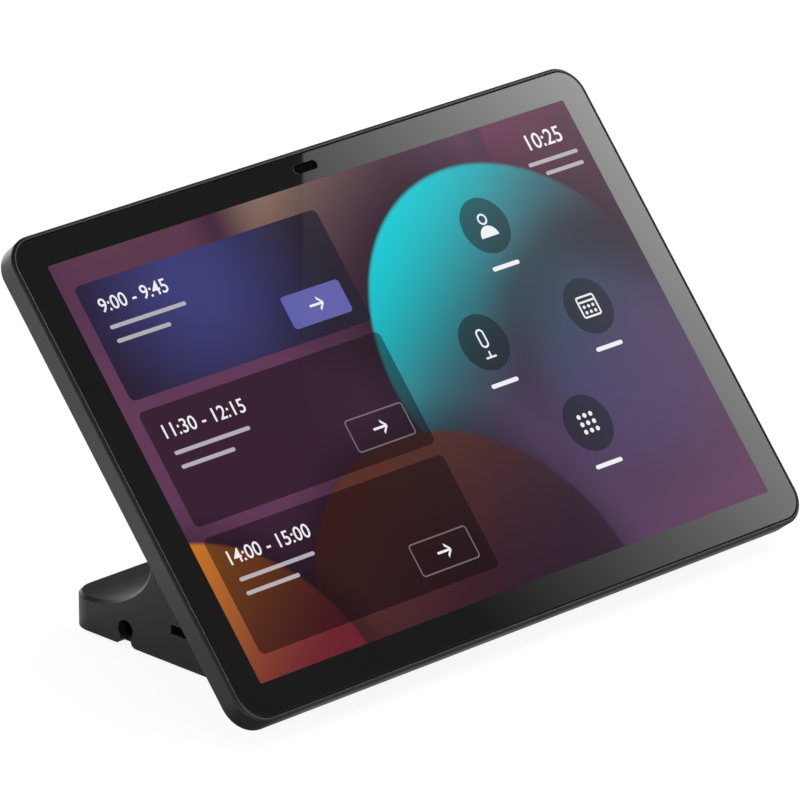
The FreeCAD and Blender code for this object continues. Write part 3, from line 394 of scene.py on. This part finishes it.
lay("booking_buttons_outlined",
    [hoop(button_size, button_corner, spot, button_line) for spot in button_spots[1:]],
    lit("display_light_grey", "#7f7a82", 0.75))


# Numerals and lines on the cards: start and end times over two plain lines, and a small arrow on
# each button, all in light pixels.
def numerals(body, height, left, base, level=2, weight=0.006):
    """Numbers in the built-in type as a closed film: outlines given thickness, then scaled to a height."""
    curve = bpy.data.curves.new("numerals", "FONT")
    curve.body = body
    curve.resolution_u = 3
    curve.offset = weight
    curve.extrude = 0.5
    holder = bpy.data.objects.new("numerals", curve)
    mesh = bpy.data.meshes.new_from_object(holder)
    points = np.empty(len(mesh.vertices) * 3)
    mesh.vertices.foreach_get("co", points)
    points = points.reshape(-1, 3)
    corner = np.empty(len(mesh.loops), np.int32)
    mesh.loops.foreach_get("vertex_index", corner)
    first = np.empty(len(mesh.polygons), np.int32)
    mesh.polygons.foreach_get("loop_start", first)
    bpy.data.objects.remove(holder)
    bpy.data.meshes.remove(mesh)
    size = height / np.ptp(points[:, 1])
    flat = (points[:, :2] - points[:, :2].min(0)) * size + (left, base)
    lift = np.where(points[:, 2] > 0, level + 1, level - 0.5) * film_thick
    return np.column_stack((flat, lift)), [face[None] for face in np.split(corner, first[1:])]


def bar(length, thick, left, middle, level=2):
    """Plain line with round ends."""
    return film(rounded((length, thick), thick / 2, (left + length / 2, middle)), level)


text_left = card_left + 4.5
time_height = 3.6
time_base = 7.0
line_thick = 1.0
card_lines = ((24.0, 3.2), (17.0, -0.4))
times = ("9:00 - 9:45", "11:30 - 12:15", "14:00 - 15:00")
bright = [numerals(time, time_height, text_left, row + time_base) for row, time in zip(card_rows, times)]
faint = [bar(length, line_thick, text_left, row + rise) for row in card_rows for length, rise in card_lines]
arrow = np.array(((0, 0.3), (-1.6, 1.9), (-1.6, 1.1), (-0.7, 0.3), (-4.4, 0.3), (-4.4, -0.3), (-0.7, -0.3),
                  (-1.6, -1.1), (-1.6, -1.9), (0, -0.3))) + (2.2, 0.0)
bright += [film(arrow + spot, 3) for spot in button_spots]

# Round controls: four dark translucent discs set in a diamond, each with a line drawing and a plain
# line under it, and the hour at the top right over two lines.
control_radius = 7.4
controls = np.array(((43.0, 31.0), (25.0, 4.0), (61.0, 4.0), (43.0, -23.0)))
lay("control_discs", [film(disc(control_radius, spot), 1) for spot in controls],
    lit("display_light_shade", "#0a151c", 0.72))
stroke = 0.5
tip = 0.1
person, microphone, calendar, keypad = controls

# A person: a ring for the head over a half disc for the shoulders.
head_radius, head_at = 1.5, person + (0.0, 1.7)
shoulder_radius, shoulders_at = 2.9, person + (0.0, -3.0)
half_turn = np.linspace(0, math.pi, 16)
shoulders = shoulders_at + shoulder_radius * np.stack((np.cos(half_turn), np.sin(half_turn)), -1)
bright += [film(disc(head_radius, head_at, 24), 2, disc(head_radius - stroke, head_at, 24)),
           film(shoulders, 2)]

# A microphone: a drawn capsule on a stem and a foot.
bright += [hoop((2.6, 5.0), 1.25, microphone + (0.0, 1.0), stroke),
           film(rounded((stroke, 1.6), tip, microphone + (0.0, -3.2)), 2),
           film(rounded((3.4, stroke), tip, microphone + (0.0, -4.0)), 2)]

# A calendar: a drawn sheet with a rule and two rows of dots. A keypad: nine dots.
bright += [hoop((6.2, 5.8), 0.8, calendar, stroke),
           film(rounded((5.0, stroke), tip, calendar + (0.0, 1.3)), 2)]
bright += [film(disc(0.45, calendar + (u, v), 12), 2) for u in (-1.5, 0.0, 1.5) for v in (0.0, -1.5)]
bright += [film(disc(0.62, keypad + (u, v), 16), 2) for u in (-2.0, 0.0, 2.0) for v in (-2.0, 0.0, 2.0)]

label_length, label_thick, label_drop = 9.0, 1.1, 11.0
bright += [bar(label_length, label_thick, u - label_length / 2, v - label_drop) for u, v in controls]
hour_height, hour_left, hour_base = 4.2, 68.0, 45.0
hour_lines = ((17.0, 65.0, 41.6), (13.0, 69.0, 38.4))
bright.append(numerals("10:25", hour_height, hour_left, hour_base))
faint += [bar(length, line_thick, left, height) for length, left, height in hour_lines]
# White pixels: the picture's colour still tints them a little.
lay("picture_marks_bright", bright, lit("display_light_white", "#f4f4f6", 0.94))
lay("picture_marks_faint", faint, lit("display_light_pale", "#c2bfc6", 0.8))

# Main board and its parts: a green board on four spacers, with its ports along the low edge so that
# plugs go in from under the stand, and a steel can over the processor.
finish("main_board", board_green)
# Zinc plate: cool grey and fairly bright.
finish("board_screws", drawn_metal("zinc_plated_steel", "#b9bbc0", "#9fa1a6", roughness=0.3, line_mm=0.15))
# Tin plate: warmer and softer than zinc.
finish("processor_shield", drawn_metal("tinned_steel", "#cfcdc6", "#b3b1aa", roughness=0.32, line_mm=0.25))
# Moulded black nylon: slightly shiny, smooth from the tool.
connector_black = moulded("connector_nylon", "#141416", "#1e1e20", roughness=0.35, grain_mm=0.3, edge_mm=0.15)
for piece in ("ethernet_jack", "usb_tongue", "reset_switch"):
    finish(piece, connector_black)
# Ivory connector resin: pale and satin.
finish("flex_sockets", moulded("ivory_lcp", "#c9c2ae", "#d8d2c0", roughness=0.45, grain_mm=0.3, edge_mm=0.1))
# White acetal: waxy and smooth.
finish("reset_button", moulded("white_acetal", "#d9d9d5", "#e6e6e2", roughness=0.4, grain_mm=0.3,
                               edge_mm=0.1))
# Gold flash over nickel: warm, smooth and bright.
finish("jack_contacts", drawn_metal("gold_flash", "#e2b45a", "#c9993f", roughness=0.22, line_mm=0.1))
# Stainless shell: bright, with the lines of its strip.
finish("usb_socket", drawn_metal("stainless_shell", "#c6c7c9", "#adaeb1", roughness=0.28, line_mm=0.2))
# Sintered ferrite: dark grey and dull, speckled by its grains.
finish("power_transformer", moulded("sintered_ferrite", "#2c2c2e", "#4a4a4c", roughness=0.7, grain_mm=0.4,
                                    edge_mm=0.15, specular=0.4))
# Drawn aluminium cans: pale and satin.
finish("bulk_capacitors", drawn_metal("capacitor_aluminium", "#d2d3d6", "#b4b5b9", roughness=0.33,
                                      line_mm=0.2))


# Flat circuits: copper lines in amber polyimide film, folded round the display's edges to sockets
# on the main board.
def striped_film(name, amber, copper, pitch_mm):
    """Polyimide film: copper lines run along the strip and show through as paler bands."""
    material, tree, shader = begin(name, IOR=1.7)
    place = add(tree, "TexCoord").outputs["Object"]
    lines = add(tree, "TexWave", {"Vector": place, "Scale": math.pi / 10 / (pitch_mm * 1e-3),
                                  "Distortion": 0.0}, bands_direction="X").outputs[1]
    tone = add(tree, "Mix", {0: lines, 6: linear(amber), 7: linear(copper)}, data_type="RGBA").outputs[2]
    gloss = add(tree, "MapRange", {"Value": lines, "To Min": 0.22, "To Max": 0.34}).outputs[0]
    connect(tree, shader, Base_Color=tone, Roughness=gloss)
    return material


# Amber polyimide: glossy and see-through brown, crossed by copper.
amber_film = striped_film("amber_polyimide", "#7a3d0e", "#b0702c", pitch_mm=0.5)
for strip in ("display_flex", "touch_flex", "sensor_flex"):
    finish(strip, amber_film)

# Stand: a hollow shell moulded in black ABS, scooped out behind the panel. Four screws hold it to
# the housing, and a steel plate backs the lock slot.
# Grained ABS: matt black, a little duller than the housing.
finish("stand_shell", moulded("grained_black_abs", "#18181a", "#1e1e20", roughness=0.48, grain_mm=0.35,
                              edge_mm=0.2, specular=0.42))
# Blackened steel: dark grey with a low shine.
finish("stand_screws", drawn_metal("blackened_steel", "#8f9196", "#77797e", roughness=0.35, line_mm=0.15))
# Stamped steel: plain grey, dull from the mill.
finish("lock_plate", drawn_metal("stamped_steel", "#a5a6a9", "#8c8d91", roughness=0.4, line_mm=0.3))

# Base cover and feet: a flat lid moulded in black ABS that snaps up into the stand's open bottom, with
# four rubber pads let into it.
# Grained cover: as matt as the stand, with less sheen.
finish("base_cover", moulded("grained_black_cover", "#18181a", "#1e1e20", roughness=0.52, grain_mm=0.35,
                             edge_mm=0.3, specular=0.2))
# Black rubber: dull and slightly dusty.
finish("rubber_feet", moulded("moulded_rubber", "#1b1b1b", "#2b2b2a", roughness=0.85, grain_mm=0.5,
                              edge_mm=0.3, specular=0.3))


# Floor: a wide white sheet that keeps the console's shadow. From underneath it is clear, so that the
# console's base can be seen.
def sheet(name, points, places, material, grid):
    """Flat or bent sheet on a grid of points, with a place map of two numbers at each point."""
    rows, columns = grid
    index = np.arange(rows * columns).reshape(rows, columns)
    faces = np.stack((index[:-1, :-1], index[:-1, 1:], index[1:, 1:], index[1:, :-1]), -1).reshape(-1, 4)
    mesh = bpy.data.meshes.new(name)
    mesh.from_pydata(points.tolist(), [], faces.tolist())
    corner = np.empty(len(mesh.loops), np.int32)
    mesh.loops.foreach_get("vertex_index", corner)
    layer = mesh.uv_layers.new(name="place")
    layer.uv.foreach_set("vector", places[corner].astype(np.float32).ravel())
    mesh.materials.append(material)
    made = bpy.data.objects.new(name, mesh)
    scene.collection.objects.link(made)
    return made


def seen_rays(tree):
    """One for rays that show a surface, straight or in gloss or glass, and nought for the rest."""
    path = add(tree, "LightPath").outputs
    seen = add(tree, "Math", {0: path["Is Camera Ray"], 1: path["Is Glossy Ray"]},
               operation="MAXIMUM").outputs[0]
    return add(tree, "Math", {0: seen, 1: path["Is Transmission Ray"]}, operation="MAXIMUM").outputs[0]


floor_reach = 3.0
floor_drop = 1e-4
floor_light = 0.9
floor_bounce = 0.3
floor_paint, tree, shader = begin("white_floor", Base_Color=linear("#707070"), Roughness=0.9,
                                  Specular_IOR_Level=0.0, Emission_Color=linear("#ffffff"))
level = add(tree, "MapRange", {"Value": seen_rays(tree), "To Min": floor_bounce,
                               "To Max": floor_light}).outputs[0]
connect(tree, shader, Emission_Strength=level)
under = add(tree, "NewGeometry").outputs["Backfacing"]
clear = add(tree, "BsdfTransparent").outputs[0]
sided = add(tree, "MixShader", {0: under, 1: shader.outputs[0], 2: clear}).outputs[0]
tree.links.new(sided, tree.nodes["Material Output"].inputs[0])
floor_ends = (-floor_reach, floor_reach)
floor_grid = np.stack(np.meshgrid(floor_ends, floor_ends), -1).reshape(-1, 2)
sheet("floor", np.column_stack((floor_grid, np.full(4, -floor_drop))), floor_grid, floor_paint, (2, 2))

# Surround: white behind the console. Gloss alone shows it white up to the horizon and dark overhead, a
# painted dark ceiling that only reflections see, and its light on the console is even.
surround_light = 0.8
painted_ceiling_light = 0.02
ceiling_from, ceiling_to = 0.15, 0.5
world = bpy.data.worlds.new("white_surround")
world.use_nodes = True
scene.world = world
tree = world.node_tree
surround = tree.nodes["Background"]
surround.inputs["Color"].default_value = linear("#ffffff")
height = add(tree, "SeparateXYZ", {0: add(tree, "TexCoord").outputs["Generated"]}).outputs[2]
shown = add(tree, "MapRange", {"Value": height, "From Min": ceiling_from, "From Max": ceiling_to,
                               "To Min": 1.0, "To Max": painted_ceiling_light},
            interpolation_type="SMOOTHSTEP").outputs[0]
level = add(tree, "Mix", {0: seen_rays(tree), 2: surround_light, 3: shown}).outputs[0]
level = add(tree, "Mix", {0: add(tree, "LightPath").outputs["Is Camera Ray"], 2: level, 3: 1.0}).outputs[0]
connect(tree, surround, Strength=level)


# Floor card: a soft grey sheet on the floor under the console, seen only in reflections, that paints into
# them the shade the console stands in. It is darkest, a painted contact shade, where the panel's left corner
# comes down to the floor.
def reflected_only(piece):
    """Keep a stage piece to reflections: the camera, shadows and diffuse light pass it by."""
    piece.visible_camera = False
    piece.visible_shadow = False
    piece.visible_diffuse = False


card_reach = 0.25
card_lift = 2e-4
shade_near, shade_far = 0.07, 0.25
shade_light, open_light = 0.36, 1.05
corner_place = (-0.093, -0.042, 0.0)
corner_near, corner_far = 0.008, 0.026
corner_shade_share = 0.25
plain_emitter = {"Emission_Color": linear("#ffffff"), "Base_Color": linear("#000000"),
                 "Specular_IOR_Level": 0.0}
floor_shade_paint, tree, shader = begin("painted_floor_shade", **plain_emitter)
place = add(tree, "UVMap", uv_map="place").outputs[0]
away = add(tree, "VectorMath", {0: place}, operation="LENGTH").outputs[1]
glow = add(tree, "MapRange", {"Value": away, "From Min": shade_near, "From Max": shade_far,
                              "To Min": shade_light, "To Max": open_light}).outputs[0]
# Painted contact shade: near the panel's left corner the sheet's light falls to a quarter.
beside = add(tree, "VectorMath", {0: place, 1: corner_place}, operation="DISTANCE").outputs[1]
dim = add(tree, "MapRange", {"Value": beside, "From Min": corner_near, "From Max": corner_far,
                             "To Min": corner_shade_share}).outputs[0]
glow = add(tree, "Math", {0: glow, 1: dim}, operation="MULTIPLY").outputs[0]
connect(tree, shader, Emission_Strength=glow)
card_grid = np.stack(np.meshgrid((-card_reach, card_reach), (-card_reach, cad_box[1][1])), -1).reshape(-1, 2)
card_points = np.column_stack((card_grid, np.full(4, card_lift)))
reflected_only(sheet("painted_floor_shade", card_points, card_grid, floor_shade_paint, (2, 2)))

# Grey flag: an upright board behind on the right, seen only in reflections, that paints a darker reflection
# into the stand's scoop in place of the white of the surround. Its place and size are in metres.
flag_middle = np.array((0.45, 0.45))
flag_width, flag_height = 0.64, 0.45
flag_light = 0.35
flag_side = np.array((-1.0, 1.0)) / math.sqrt(2) * flag_width / 2
flag_foot = np.stack((flag_middle - flag_side, flag_middle + flag_side))
flag_points = np.column_stack((np.tile(flag_foot, (2, 1)), np.repeat((0.0, flag_height), 2)))
flag_paint, _, _ = begin("painted_reflection_flag", Emission_Strength=flag_light, **plain_emitter)
reflected_only(sheet("painted_reflection_flag", flag_points, flag_points[:, :2], flag_paint, (2, 2)))


# Lamps: one soft lamp on the right lights the console from above, and one behind draws its edges.
# Places and sizes are in metres.
def soft_lamp(name, place, size, watts):
    """Soft lamp of a width and height that faces the console."""
    panel = bpy.data.lights.new(name, "AREA")
    panel.shape = "RECTANGLE"
    panel.size, panel.size_y = size
    panel.energy = watts
    lamp = bpy.data.objects.new(name, panel)
    lamp.location = place
    lamp.rotation_euler = Vector(place).to_track_quat("Z", "Y").to_euler()
    scene.collection.objects.link(lamp)


soft_lamp("lamp_right", (1.25, -0.16, 0.94), (0.6, 0.6), 7.0)
soft_lamp("lamp_behind", (0.35, 1.4, 0.17), (0.8, 0.3), 3.2)

# View: a long lens looks down on the console from in front and to its left, so the panel's left and
# lower walls show and its long edges stay nearly parallel.
view_azimuth = math.radians(-45.0)
view_elevation = math.radians(20.6)
view_distance = 1.895
view_aim = np.array((-3.88, -1.15, 51.06)) * 1e-3
lens_mm = 361.2
sensor_mm = 36.0
view_reach = 20.0
sight = np.array((math.sin(view_azimuth) * math.cos(view_elevation),
                  -math.cos(view_azimuth) * math.cos(view_elevation), math.sin(view_elevation)))
eye = view_aim + sight * view_distance
lens = bpy.data.cameras.new("long_lens")
lens.lens = lens_mm
lens.sensor_width = sensor_mm
lens.clip_end = view_reach
camera = bpy.data.objects.new("long_lens", lens)
camera.location = eye
camera.rotation_euler = Vector(-sight).to_track_quat("-Z", "Y").to_euler()
scene.collection.objects.link(camera)
scene.camera = camera
scene.view_settings.view_transform = "Standard"

# Light board: a bent board in front, seen only in reflections, that paints the reflection in the glass, dark
# at the left and brighter to the top right. Each of its points lies where the glass mirrors it at its own
# pixel of the frame.
frame_px = 800
board_away = 0.55
lit_from = 303.0
grey_start = 51.7 / 255
grey_step = np.array((0.2058, -0.1974, 0.0)) / 255
glass_dark = 0.0116
glass_mirror = 0.0495
span = np.linspace(-80.0, 880.0, 25)
pixel = np.stack(np.meshgrid(span, span), -1).reshape(-1, 2)
right = np.array((math.cos(view_azimuth), math.sin(view_azimuth), 0.0))
above = np.cross(sight, right)
slope = (pixel - frame_px / 2) / frame_px * sensor_mm / lens_mm
ray = -sight + slope[:, :1] * right - slope[:, 1:] * above
ray /= np.linalg.norm(ray, axis=1, keepdims=True)
travel = ((glass_front - eye) @ outward) / (ray @ outward)
mirrored = ray - 2 * (ray @ outward)[:, None] * outward
board_points = eye + ray * travel[:, None] + mirrored * board_away
board_paint, tree, shader = begin("painted_reflection_board", **plain_emitter)
place = add(tree, "UVMap", uv_map="place").outputs[0]
column = add(tree, "SeparateXYZ", {0: place}).outputs[0]
cut = add(tree, "MapRange", {"Value": column, "From Min": lit_from - 1.0,
                             "From Max": lit_from + 1.0}).outputs[0]
# The grey that the glass shows grows in even sRGB steps per pixel, so its light follows the sRGB curve.
grey = add(tree, "VectorMath", {0: place, 1: grey_step / 1.055}, operation="DOT_PRODUCT").outputs[1]
grey = add(tree, "Math", {0: grey, 1: (grey_start + 0.055) / 1.055}, operation="ADD",
           use_clamp=True).outputs[0]
glow = add(tree, "Math", {0: grey, 1: 2.4}, operation="POWER").outputs[0]
glow = add(tree, "Math", {0: glow, 1: glass_dark}, operation="SUBTRACT", use_clamp=True).outputs[0]
glow = add(tree, "Math", {0: glow, 1: cut}, operation="MULTIPLY").outputs[0]
glow = add(tree, "Math", {0: glow, 1: glass_mirror}, operation="DIVIDE").outputs[0]
connect(tree, shader, Emission_Strength=glow)
reflected_only(sheet("painted_reflection_board", board_points, pixel, board_paint, (len(span), len(span))))
